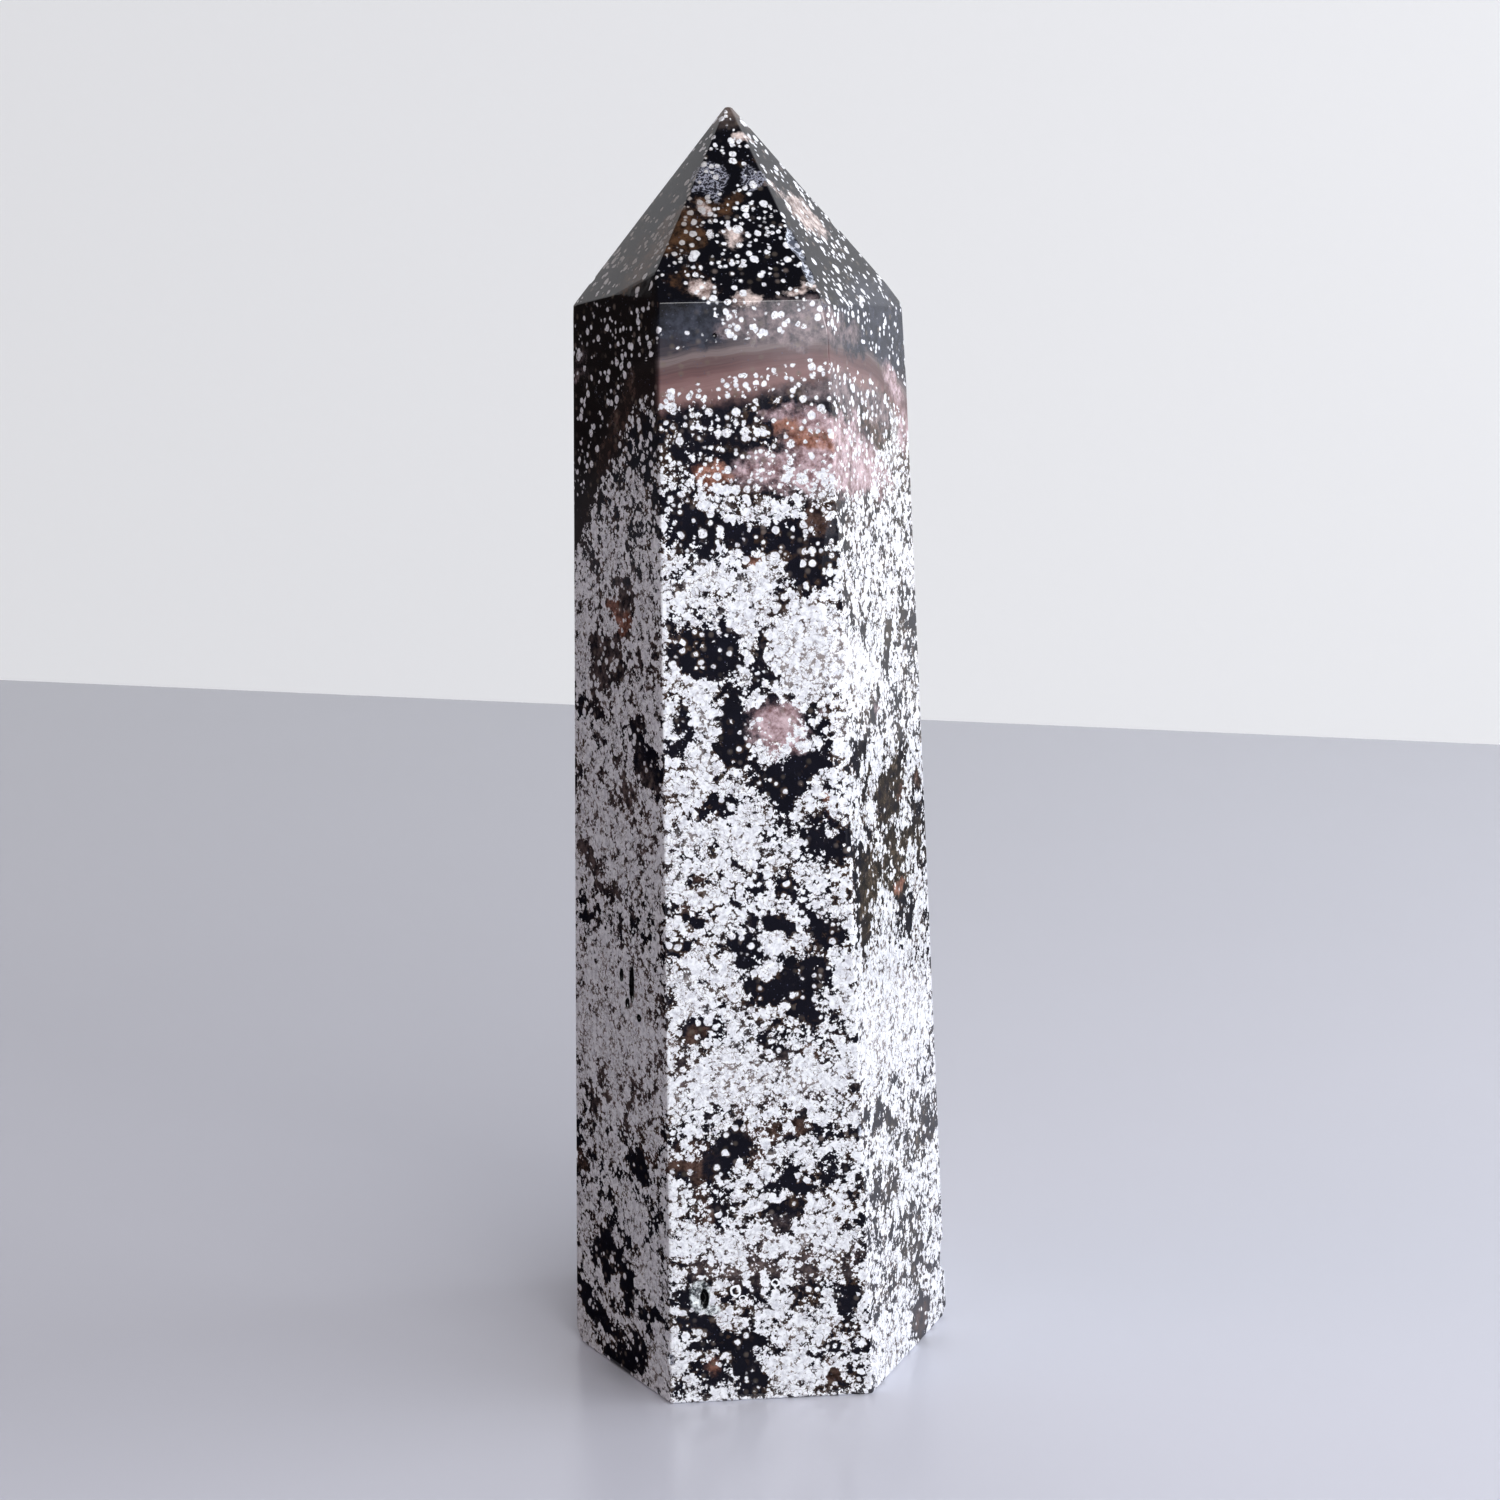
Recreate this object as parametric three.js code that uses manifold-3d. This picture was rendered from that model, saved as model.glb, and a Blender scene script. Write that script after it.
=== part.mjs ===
// A polished ocean jasper point: a six-sided tower that tapers a little upwards, ground to a
// six-sided tip, with softened edges, a flat base and the chips and pits of the real stone.
// Millimetres and degrees. Z is up, the front face looks along -Y, and the stone stands on z = 0.

import * as THREE from 'three';
import { ConvexGeometry } from 'three/addons/geometries/ConvexGeometry.js';
import { mergeVertices } from 'three/addons/utils/BufferGeometryUtils.js';
import Module from 'manifold-3d';

const wasm = await Module();
wasm.setup();

// The size of the stone
const HEIGHT = 120;
const SIDES = 6;
const APOTHEM = 16.3; // from the base's middle to a face of the tower, at the base
const TIP_SLOPE = 53; // the tip's faces, from level
const EDGE_RADIUS = 0.28;
const APEX_WEAR = 0.4; // what the worn apex has lost
const APEX_DRIFT = { x: -2.1, y: 0.1 }; // the apex stands a little off the middle of the base

const FACE_STEP = 360 / SIDES;
const UPRIGHT = 90;
const UP = new THREE.Vector3(0, 0, 1);
const APEX = new THREE.Vector3(APEX_DRIFT.x, APEX_DRIFT.y, HEIGHT + APEX_WEAR);

// The tower's faces, hand-ground and so not quite even. place counts round from the front face
// towards +X, turn is how far the face is off its even place, proud is how far it stands outside
// APOTHEM at the base, and lean is how far it leans inwards.
const TOWER_FACES = {
  left: { place: -1, turn: -2.3, proud: 0.45, lean: 0.9 },
  front: { place: 0, turn: 0, proud: 0.35, lean: 1.45 },
  right: { place: 1, turn: 0.2, proud: -0.2, lean: 2.55 },
  backRight: { place: 2, turn: 1, proud: 0.9, lean: 1.9 },
  back: { place: 3, turn: 1, proud: 0.1, lean: 1.4 },
  backLeft: { place: 4, turn: 1, proud: -0.3, lean: 0.85 },
};

// The tip's faces, which all meet at the apex. steeper is added to TIP_SLOPE.
const TIP_FACES = {
  left: { place: -1, turn: -7.7, steeper: -0.1 },
  front: { place: 0, turn: -0.5, steeper: -1.3 },
  right: { place: 1, turn: 0, steeper: 0.9 },
  backRight: { place: 2, turn: 1, steeper: -3.3 },
  back: { place: 3, turn: -2, steeper: -0.5 },
  backLeft: { place: 4, turn: 4, steeper: 1.7 },
};

// Small flats ground across corners, each through one point of the stone
const SMALL_FLATS = {
  leftShoulder: { azimuth: -60.7, slope: 67.6, through: [-9.6, -11, 106.3] },
  rightShoulder: { azimuth: 61.7, slope: 60, through: [12.87, 1.8, 103.8] },
  frontRightEdgeTop: { azimuth: 20.2, slope: 83.5, through: [5.35, -14.17, 98.9] },
  rightEdgeTop: { azimuth: 88, slope: 86, through: [14.78, 2.36, 97.4] },
  baseLeftCorner: { azimuth: -90, slope: 113, through: [-18.0, -0.6, 0] },
  baseRightCorner: { azimuth: 91, slope: 125, through: [18.6, 1.3, 0] },
};

// Chips broken out of edges. between names the two faces that share the edge and level is the
// chip's height. radii are along the edge, across it and inwards. lift moves the chip's centre out
// of the stone, and aside moves it across the edge.
const TIP_CHIPS = [
  { between: ['front', 'right'], level: 107.4, radii: [2.6, 1.7, 0.8], lift: 0.35, aside: 0.5 },
  { between: ['front', 'right'], level: 104.9, radii: [1.7, 1.1, 0.6], lift: 0.25, aside: 0.2 },
  { between: ['right', 'backRight'], level: 109.3, radii: [0.8, 0.7, 0.5], lift: 0.1, aside: 0 },
  { between: ['left', 'backLeft'], level: 104.4, radii: [0.5, 0.5, 0.3], lift: 0.1, aside: 0 },
];
const TOWER_CHIPS = [
  { between: ['right', 'backRight'], level: 6.5, radii: [1.8, 1.5, 1], lift: 0.12, aside: 0 },
  { between: ['right', 'backRight'], level: 96.4, radii: [0.6, 0.5, 0.4], lift: 0.1, aside: 0 },
  { between: ['left', 'backLeft'], level: 19.4, radii: [0.5, 0.6, 0.35], lift: 0.1, aside: 0 },
  { between: ['left', 'front'], level: 4.4, radii: [0.7, 0.5, 0.4], lift: 0.1, aside: 0 },
  { between: ['front', 'right'], level: 26, radii: [0.9, 0.5, 0.35], lift: 0.1, aside: 0 },
  { between: ['back', 'backLeft'], level: 41, radii: [1, 0.7, 0.5], lift: 0.1, aside: 0 },
  { between: ['back', 'backRight'], level: 88, radii: [0.8, 0.6, 0.45], lift: 0.1, aside: 0 },
];

// Long shallow hollows left by the grinding along an edge. share is how far each one faces the way
// that the first of its two faces does.
const GROUND_HOLLOWS = [
  { between: ['front', 'right'], level: 76.5, radii: [10, 3.2, 1.1], lift: 0.6, share: 0.8 },
  { between: ['front', 'right'], level: 65, radii: [19, 2.6, 1], lift: 0.65, share: 0.8 },
];

// Pits left open in the polished faces. across is along the face towards its right as it is
// looked at, from above the base's middle, and radii are across, along the height and inwards.
const PITS = [
  { face: 'front', across: -7, level: 10.2, radii: [0.42, 0.85, 0.55] },
  { face: 'front', across: -7.5, level: 10.9, radii: [0.75, 1.15, 0.2] },
  { face: 'front', across: -6.4, level: 11.3, radii: [0.22, 0.3, 0.2] },
  { face: 'front', across: -4.75, level: 99.5, radii: [0.22, 0.25, 0.2] },
  { face: 'left', across: 3.1, level: 39.4, radii: [0.34, 1.8, 0.45] },
  { face: 'left', across: 1.2, level: 39.8, radii: [0.25, 0.7, 0.25] },
  { face: 'left', across: 2.3, level: 37.3, radii: [0.3, 0.6, 0.25] },
  { face: 'left', across: 4.45, level: 36.4, radii: [0.3, 0.35, 0.22] },
  { face: 'back', across: 3.5, level: 52, radii: [0.4, 0.9, 0.3] },
  { face: 'back', across: -5.2, level: 23.5, radii: [0.35, 0.4, 0.28] },
  { face: 'backLeft', across: -2.8, level: 71, radii: [0.3, 0.5, 0.24] },
  { face: 'backRight', across: 3.1, level: 33, radii: [0.32, 0.45, 0.26] },
];

// How a broken surface departs from a smooth hollow, as a share of its radius
const BREAK_ROUGHNESS = 0.09;
const BREAK_WAVES = 5;
const SCOOP_DETAIL = 3;
const BALL_DETAIL = 2;
const LEAST_TURN = THREE.MathUtils.degToRad(8); // between the ball's directions and a flat face's
const BLOCK_SIZE = 4 * HEIGHT;

// A direction that points away from the stone's axis, by its turn round it and its slope
function outward(azimuth, slope) {
  const turn = THREE.MathUtils.degToRad(azimuth);
  const rise = THREE.MathUtils.degToRad(slope);
  return new THREE.Vector3(
    Math.sin(turn) * Math.sin(rise),
    -Math.cos(turn) * Math.sin(rise),
    Math.cos(rise),
  );
}

function planeThrough(normal, point) {
  return new THREE.Plane().setFromNormalAndCoplanarPoint(normal, point);
}

function towerPlane({ place, turn, proud, lean }) {
  const azimuth = place * FACE_STEP + turn;
  const foot = outward(azimuth, UPRIGHT).multiplyScalar(APOTHEM + proud);
  return planeThrough(outward(azimuth, UPRIGHT - lean), foot);
}

function tipPlane({ place, turn, steeper }) {
  return planeThrough(outward(place * FACE_STEP + turn, TIP_SLOPE + steeper), APEX);
}

function flatPlane({ azimuth, slope, through }) {
  return planeThrough(outward(azimuth, slope), new THREE.Vector3(...through));
}

function levelPlane(level) {
  return planeThrough(UP.clone(), new THREE.Vector3(0, 0, level));
}

function mapValues(table, make) {
  return Object.fromEntries(Object.entries(table).map(([name, row]) => [name, make(row)]));
}

// The point that three planes share
function meetingPoint(first, second, third) {
  const cross = new THREE.Vector3().crossVectors(second.normal, third.normal);
  const share = first.normal.dot(cross);
  const point = cross.multiplyScalar(-first.constant);
  point.addScaledVector(new THREE.Vector3().crossVectors(third.normal, first.normal), -second.constant);
  point.addScaledVector(new THREE.Vector3().crossVectors(first.normal, second.normal), -third.constant);
  return point.divideScalar(share);
}

function toSolid(geometry) {
  geometry.deleteAttribute('normal');
  geometry.deleteAttribute('uv');
  const merged = mergeVertices(geometry, 1e-5);
  const mesh = new wasm.Mesh({
    numProp: 3,
    vertProperties: new Float32Array(merged.attributes.position.array),
    triVerts: new Uint32Array(merged.index.array),
  });
  return new wasm.Manifold(mesh);
}

function toGeometry(solid) {
  const mesh = solid.getMesh();
  const geometry = new THREE.BufferGeometry();
  geometry.setAttribute('position', new THREE.BufferAttribute(mesh.vertProperties, 3));
  geometry.setIndex(new THREE.BufferAttribute(mesh.triVerts, 1));
  return geometry;
}

// Grinds away what lies outside a plane
function grind(solid, plane) {
  const block = new THREE.BoxGeometry(BLOCK_SIZE, BLOCK_SIZE, BLOCK_SIZE);
  block.translate(0, 0, BLOCK_SIZE / 2);
  block.applyQuaternion(new THREE.Quaternion().setFromUnitVectors(UP, plane.normal));
  block.translate(...plane.coplanarPoint(new THREE.Vector3()));
  return solid.subtract(toSolid(block));
}

// The same stone cut smaller by the edge radius on every side, as its sharp corners
function innerCorners(planes) {
  const blank = new THREE.BoxGeometry(4 * APOTHEM, 4 * APOTHEM, 2 * HEIGHT);
  let core = toSolid(blank);
  for (const plane of planes) {
    core = grind(core, new THREE.Plane(plane.normal, plane.constant + EDGE_RADIUS));
  }
  const places = core.getMesh().vertProperties;
  const corners = [];
  for (let i = 0; i < places.length; i += 3) {
    corners.push(new THREE.Vector3().fromArray(places, i));
  }
  return corners;
}

// Rolls a small ball round the corners, so that faces stay flat and edges come out rounded
function softenedStone(planes) {
  const ball = new THREE.IcosahedronGeometry(1, BALL_DETAIL);
  const ways = planes.map((plane) => plane.normal);
  for (let i = 0; i < ball.attributes.position.count; i += 1) {
    const way = new THREE.Vector3().fromBufferAttribute(ball.attributes.position, i);
    if (planes.every((plane) => plane.normal.angleTo(way) > LEAST_TURN)) {
      ways.push(way);
    }
  }
  const skin = [];
  for (const corner of innerCorners(planes)) {
    for (const way of ways) {
      skin.push(corner.clone().addScaledVector(way, EDGE_RADIUS));
    }
  }
  return toSolid(new ConvexGeometry(skin));
}

// A hollow: a ball stretched to its radii along three directions, with a broken, rippled surface
// where it has a roughness
function scoop(centre, [along, across, inward], radii, roughness) {
  const ball = new THREE.IcosahedronGeometry(1, SCOOP_DETAIL);
  ball.deleteAttribute('normal');
  ball.deleteAttribute('uv');
  const geometry = mergeVertices(ball);
  const place = geometry.attributes.position;
  for (let i = 0; i < place.count; i += 1) {
    const way = new THREE.Vector3().fromBufferAttribute(place, i);
    const ripple = Math.sin(BREAK_WAVES * way.x + centre.z) * Math.cos(BREAK_WAVES * way.y - centre.x);
    const reach = 1 + roughness * ripple;
    const point = centre.clone();
    point.addScaledVector(along, way.x * radii[0] * reach);
    point.addScaledVector(across, way.y * radii[1] * reach);
    point.addScaledVector(inward, way.z * radii[2] * reach);
    place.setXYZ(i, point.x, point.y, point.z);
  }
  return toSolid(geometry);
}

// The directions along, across and into the edge of two faces
function edgeDirections(first, second, share) {
  const inward = first.normal.clone().multiplyScalar(-share);
  inward.addScaledVector(second.normal, share - 1).normalize();
  const along = new THREE.Vector3().crossVectors(first.normal, second.normal).normalize();
  return [along, new THREE.Vector3().crossVectors(inward, along), inward];
}

function edgeChip({ between, level, radii, lift, aside }, faces) {
  const [first, second] = between.map((name) => faces[name]);
  const directions = edgeDirections(first, second, 0.5);
  const centre = meetingPoint(first, second, levelPlane(level));
  centre.addScaledVector(directions[2], -lift).addScaledVector(directions[1], aside);
  return scoop(centre, directions, radii, BREAK_ROUGHNESS);
}

function groundHollow({ between, level, radii, lift, share }, faces) {
  const [first, second] = between.map((name) => faces[name]);
  const directions = edgeDirections(first, second, share);
  const centre = meetingPoint(first, second, levelPlane(level));
  centre.addScaledVector(directions[2], -lift);
  return scoop(centre, directions, radii, 0);
}

function pit({ face, across, level, radii }, faces) {
  const plane = faces[face];
  const sideways = new THREE.Vector3().crossVectors(UP, plane.normal).normalize();
  const throughAxis = planeThrough(sideways.clone(), sideways.clone().multiplyScalar(across));
  const centre = meetingPoint(plane, throughAxis, levelPlane(level));
  const upright = new THREE.Vector3().crossVectors(sideways, plane.normal);
  const directions = [sideways, upright, plane.normal.clone().negate()];
  return scoop(centre, directions, radii, BREAK_ROUGHNESS);
}

function stoneGeometry() {
  const tower = mapValues(TOWER_FACES, towerPlane);
  const tips = mapValues(TIP_FACES, tipPlane);
  const base = planeThrough(new THREE.Vector3(0, 0, -1), new THREE.Vector3());
  const wornApex = levelPlane(HEIGHT);
  const flats = Object.values(SMALL_FLATS).map(flatPlane);
  const planes = [base, wornApex, ...Object.values(tower), ...Object.values(tips), ...flats];
  const hollows = [
    ...GROUND_HOLLOWS.map((row) => groundHollow(row, tower)),
    ...TOWER_CHIPS.map((row) => edgeChip(row, tower)),
    ...TIP_CHIPS.map((row) => edgeChip(row, tips)),
    ...PITS.map((row) => pit(row, tower)),
  ];
  const stone = hollows.reduce((rest, hollow) => rest.subtract(hollow), softenedStone(planes));
  return toGeometry(stone);
}

// Puts the origin at the bottom, in the middle of the stone's box
function centredOnBase(geometry) {
  geometry.computeBoundingBox();
  const middle = geometry.boundingBox.getCenter(new THREE.Vector3());
  return geometry.translate(-middle.x, -middle.y, -geometry.boundingBox.min.z);
}

function jasperMaterial() {
  return new THREE.MeshStandardMaterial({
    color: new THREE.Color(0.52, 0.5, 0.52),
    roughness: 0.12,
    metalness: 0,
    flatShading: true,
  });
}

const stone = new THREE.Mesh(centredOnBase(stoneGeometry()), jasperMaterial());
stone.name = 'jasper_point';

const point = new THREE.Group();
point.add(stone);

export default point;
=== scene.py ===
"""A polished jasper point on a pale table: the stone's fine mesh, its markings and a soft studio.

The markings are a solid texture. Every spot, band and patch is placed in the stone's own space, in
millimetres, so it runs on through the stone and round its edges.
"""
import math

import bmesh
import bpy
import numpy as np
from mathutils import Matrix, Vector, noise
from mathutils.bvhtree import BVHTree
from mathutils.geometry import delaunay_2d_cdt


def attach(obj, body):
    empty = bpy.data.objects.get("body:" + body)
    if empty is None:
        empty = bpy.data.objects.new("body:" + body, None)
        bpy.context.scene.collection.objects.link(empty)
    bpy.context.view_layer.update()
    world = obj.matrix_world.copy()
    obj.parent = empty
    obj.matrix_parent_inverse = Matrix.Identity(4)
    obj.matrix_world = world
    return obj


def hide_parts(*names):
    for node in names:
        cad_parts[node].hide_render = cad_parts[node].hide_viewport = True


MM = 0.001
NODE = "jasper_point"

# Camera, in millimetres and degrees: where it stands and how it is turned towards the stone
CAMERA_PLACE = (-23.48, -236.84, 104.43)
CAMERA_TURN = 5.443
CAMERA_PITCH = 10.687
CAMERA_ROLL = 0.486
CAMERA_LENS = 60.0
CAMERA_SENSOR = 36.0
TONE_GAMMA = 0.85

# Table and wall, in millimetres and degrees
TABLE_RADIUS = 2600.0
WALL_PLACE = (18.0, 370.0)
WALL_TURN = -22.3
WALL_SIZE = (2600.0, 1500.0)
WALL_COLOUR = (0.25, 0.25, 0.255)
WALL_GLOW = (0.62, 0.63, 0.65)
TABLE_COLOUR = (0.60, 0.614, 0.69)

# Cards outside the view that only polished surfaces see, and only from above or from the stone's
# side: two opposite corners in millimetres, and how bright they are at their left and right
CARDS = {
    "card_in_front": ((-80.0, -560.0, 0.4), (200.0, -17.2, 0.4), 0.08, 0.08),
    "card_further_in_front": ((-200.0, -1600.0, 1.0), (400.0, -561.0, 1.0), 0.08, 0.08),
    "card_at_left": ((-620.0, -30.0, 0.5), (-12.0, 380.0, 0.5), 0.0, 0.0),
    "card_at_right": ((130.0, 60.0, 0.5), (390.0, 330.0, 0.5), 0.2, 0.2),
    "sheen": ((-100.0, -700.0, 106.0), (220.0, -700.0, 260.0), 0.6, 3.6),
    "sheen_at_right": ((221.0, -700.0, 106.0), (900.0, -700.0, 260.0), 5.0, 5.0),
}
# Between which shares of a card's width it changes from one brightness to the other
SHEEN_RISE = (-0.03, 0.08)

# The fine mesh, in millimetres and degrees
SAME_POINT = 1e-4
SAME_FLAT_POINT = 1e-7
FLAT_ANGLE = 0.2  # neighbours that differ by less are one flat face
SMALLEST_GROUND_FACE = 25.0  # in square millimetres
SAME_WAY = 0.999  # the cosine between two faces that look the same way
BASE_WAY = -0.9  # the base is what looks further down than this
MESH_STEP = 0.55
CHIP_STEP = 0.22
CHIP_DEPTH = 0.07  # a face whose middle lies deeper belongs to a chip or a pit
BROKEN_DEPTHS = (0.06, 0.16)  # where a polished surface turns into a broken one
RIM_CLEARANCE = 0.55  # how many steps the points inside a face keep from its rim
INSIDE_ONLY = 1  # tells the triangulation to leave out what is outside the ring
SHARP_ANGLE = 32.0
ON_FACE = 0.001
NEARLY_FLAT = 20.0  # corners that are shaded closer to the face than this take its normal
ROLL_REACH = 3.0
ROLL_DEPTH = 0.015
ROLL_BLEND = 0.6
WAVE_LENGTH = 7.0
WAVE_HEIGHT = 0.012

# The way each seen face looks, in degrees round the stone from -Y towards +X
FACE_WAY = {
    "left": -62.3,
    "front": 0.0,
    "right": 60.2,
    "tip_left": -67.7,
    "tip_front": -0.5,
    "tip_right": 60.0,
}

# Patches of the markings: face, across and level of the middle, half width and half height in
# millimetres, tilt in degrees anticlockwise as seen from outside, and how strong the patch is. Dark
# ones thin the speckles out, white ones thicken them, and the others colour the stone between them.
DARK_PATCHES = (
    ("left", -2.5, 70.0, 1.9, 2.6, 0, 1.0),
    ("left", 0.6, 70.5, 0.8, 2.6, -10, 1.0),
    ("left", 2.0, 75.8, 1.2, 2.2, 0, 0.9),
    ("left", -4.6, 64.3, 2.6, 0.7, 0, 0.9),
    ("left", 5.4, 61.5, 1.7, 3.6, 38, 1.1),
    ("left", -6.0, 50.6, 1.4, 1.2, 0, 0.7),
    ("left", -5.0, 44.2, 1.1, 0.7, 0, 0.7),
    ("left", 4.2, 22.2, 2.0, 1.3, 0, 0.9),
    ("left", 0.0, 20.3, 3.4, 1.0, 8, 0.4),
    ("left", -2.3, 11.0, 2.3, 2.3, 0, 1.1),
    ("left", 6.0, 7.4, 3.2, 0.9, 8, 0.9),
    ("left", 1.8, 9.0, 1.1, 1.6, 0, 0.8),
    ("left", -4.8, 4.4, 3.4, 1.3, -18, 1.0),
    ("left", 4.2, 3.8, 1.3, 1.7, 0, 0.9),
    ("left", 0.4, 1.0, 3.2, 0.9, 0, 0.9),
    ("front", -6.3, 71.5, 3.4, 2.1, -6, 1.15),
    ("front", 0.4, 75.2, 0.9, 1.4, -30, 1.0),
    ("front", -1.0, 71.4, 0.6, 1.9, 0, 1.0),
    ("front", -0.3, 68.9, 0.6, 1.4, 25, 0.9),
    ("front", 3.2, 79.6, 2.2, 2.8, 0, 1.0),
    ("front", -0.6, 81.6, 3.4, 1.4, 0, 0.8),
    ("front", -7.2, 83.2, 2.2, 1.4, 0, 0.8),
    ("front", -3.2, 89.2, 2.6, 1.5, 0, 0.5),
    ("front", 2.0, 93.9, 3.4, 0.6, 2, 0.5),
    ("front", -4.0, 65.2, 1.2, 1.6, 0, 0.9),
    ("front", -3.6, 62.4, 1.6, 1.8, 0, 1.0),
    ("front", -8.5, 64.6, 0.8, 2.4, 0, 0.7),
    ("front", 0.6, 59.4, 2.6, 1.6, 0, 0.9),
    ("front", 3.6, 61.4, 1.4, 0.9, 0, 0.7),
    ("front", -4.6, 57.5, 2.2, 0.7, 8, 0.8),
    ("front", 5.9, 53.6, 0.8, 2.6, 0, 1.0),
    ("front", 0.9, 50.0, 0.9, 1.6, -15, 0.8),
    ("front", -0.2, 45.9, 1.7, 0.9, 0, 0.9),
    ("front", 4.5, 44.6, 1.6, 1.5, 0, 0.9),
    ("front", -2.8, 43.8, 1.2, 1.8, 40, 0.8),
    ("front", 1.4, 40.8, 4.0, 1.4, 14, 1.0),
    ("front", 2.2, 37.4, 1.2, 1.9, 20, 0.7),
    ("front", 0.4, 34.2, 0.8, 1.1, 0, 0.7),
    ("front", -7.6, 36.4, 2.0, 0.7, 15, 0.8),
    ("front", -8.8, 43.7, 1.2, 0.6, 0, 0.8),
    ("front", -4.6, 25.2, 2.6, 1.3, 38, 1.1),
    ("front", -5.6, 23.2, 1.3, 1.5, 0, 1.1),
    ("front", -8.9, 23.0, 1.3, 1.0, 0, 0.9),
    ("front", 0.7, 21.0, 2.3, 0.8, 12, 0.7),
    ("front", 0.3, 18.5, 1.6, 1.1, 0, 0.8),
    ("front", -5.8, 19.2, 1.0, 0.8, 0, 0.6),
    ("front", -9.2, 10.2, 1.2, 1.2, 0, 0.8),
    ("front", 2.4, 10.3, 1.4, 1.4, 0, 0.6),
    ("front", 6.4, 10.4, 1.0, 2.1, 0, 0.6),
    ("front", -8.4, 7.5, 2.2, 0.9, -8, 1.0),
    ("front", -3.8, 6.1, 2.3, 1.0, 0, 0.9),
    ("front", -2.8, 2.6, 1.3, 1.9, 15, 0.9),
    ("right", 0.8, 91.8, 3.6, 2.2, -22, 1.1),
    ("right", 6.6, 94.0, 3.0, 1.6, -30, 0.9),
    ("right", -8.3, 75.2, 1.2, 2.2, 35, 0.6),
    ("right", -5.0, 72.4, 0.7, 2.2, 50, 0.6),
    ("right", 1.5, 70.0, 0.7, 2.4, -15, 0.8),
    ("right", 7.4, 70.6, 2.6, 3.4, 0, 0.35),
    ("right", 0.6, 56.2, 3.4, 2.3, 28, 1.0),
    ("right", -7.6, 61.2, 2.8, 1.6, 0, 0.4),
    ("right", 0.4, 63.8, 3.6, 1.6, 0, 0.35),
    ("right", -6.4, 50.4, 2.8, 3.6, 0, 0.4),
    ("right", 1.4, 49.8, 3.8, 3.2, 0, 0.42),
    ("right", 7.4, 51.4, 2.4, 3.0, 0, 0.35),
    ("right", -7.6, 45.4, 2.0, 2.6, 0, 0.45),
    ("right", 3.6, 44.6, 2.4, 2.4, 0, 0.4),
    ("right", 1.4, 39.8, 1.5, 2.2, 0, 0.4),
    ("right", -4.4, 25.8, 3.4, 1.6, -10, 0.45),
    ("right", 6.8, 20.2, 2.8, 1.8, 0, 0.45),
    ("right", -5.6, 18.6, 3.4, 2.2, 0, 0.35),
    ("right", 0.0, 13.6, 4.4, 2.2, 0, 0.3),
    ("right", 2.6, 9.2, 3.2, 2.0, 0, 0.45),
    ("right", 3.4, 2.6, 2.1, 2.1, 0, 1.3),
    ("tip_front", -0.4, 106.6, 4.2, 3.4, 0, 0.45),
    ("front", -7.0, 81.2, 2.4, 1.5, 0, 0.7),
    ("front", -0.2, 64.0, 1.5, 1.4, 0, 0.45),
    ("front", -1.4, 11.4, 3.2, 1.3, 0, 0.45),
    ("front", 2.0, 13.4, 4.0, 1.2, 0, 0.3),
    ("front", -7.2, 13.4, 1.6, 1.2, 0, 0.4),
)
WHITE_PATCHES = (
    ("front", 3.3, 71.4, 3.7, 3.9, 0, 0.75),
    ("front", 4.2, 86.0, 2.6, 1.4, 0, 0.5),
    ("front", -7.4, 67.4, 2.4, 2.4, 0, 0.35),
    ("front", -2.6, 72.4, 1.1, 4.2, 4, 0.5),
    ("front", -5.4, 77.2, 4.6, 1.6, 8, 0.38),
    ("front", -2.6, 84.3, 3.4, 1.3, -8, 0.45),
    ("front", -6.6, 61.6, 1.3, 3.6, 0, 0.4),
    ("front", -5.4, 53.0, 4.2, 3.2, 0, 0.4),
    ("front", -6.8, 40.4, 2.6, 3.0, 0, 0.35),
    ("front", -2.0, 31.4, 7.0, 2.4, 0, 0.45),
    ("left", 0.0, 53.6, 8.0, 4.4, 0, 0.16),
    ("left", -1.0, 35.0, 8.0, 6.0, 0, 0.4),
    ("left", 7.6, 3.4, 1.8, 2.6, 0, 0.5),
    ("left", 5.8, 11.4, 2.6, 2.2, 0, 0.3),
    ("right", -6.0, 69.6, 4.2, 3.2, -14, 0.55),
    ("right", 5.6, 90.4, 1.2, 3.0, 8, 1.0),
    ("right", 3.6, 86.0, 4.2, 2.4, -10, 0.6),
    ("right", -1.0, 34.8, 9.0, 6.4, 0, 0.6),
    ("right", -6.0, 3.4, 3.4, 2.6, 0, 0.35),
)
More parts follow.
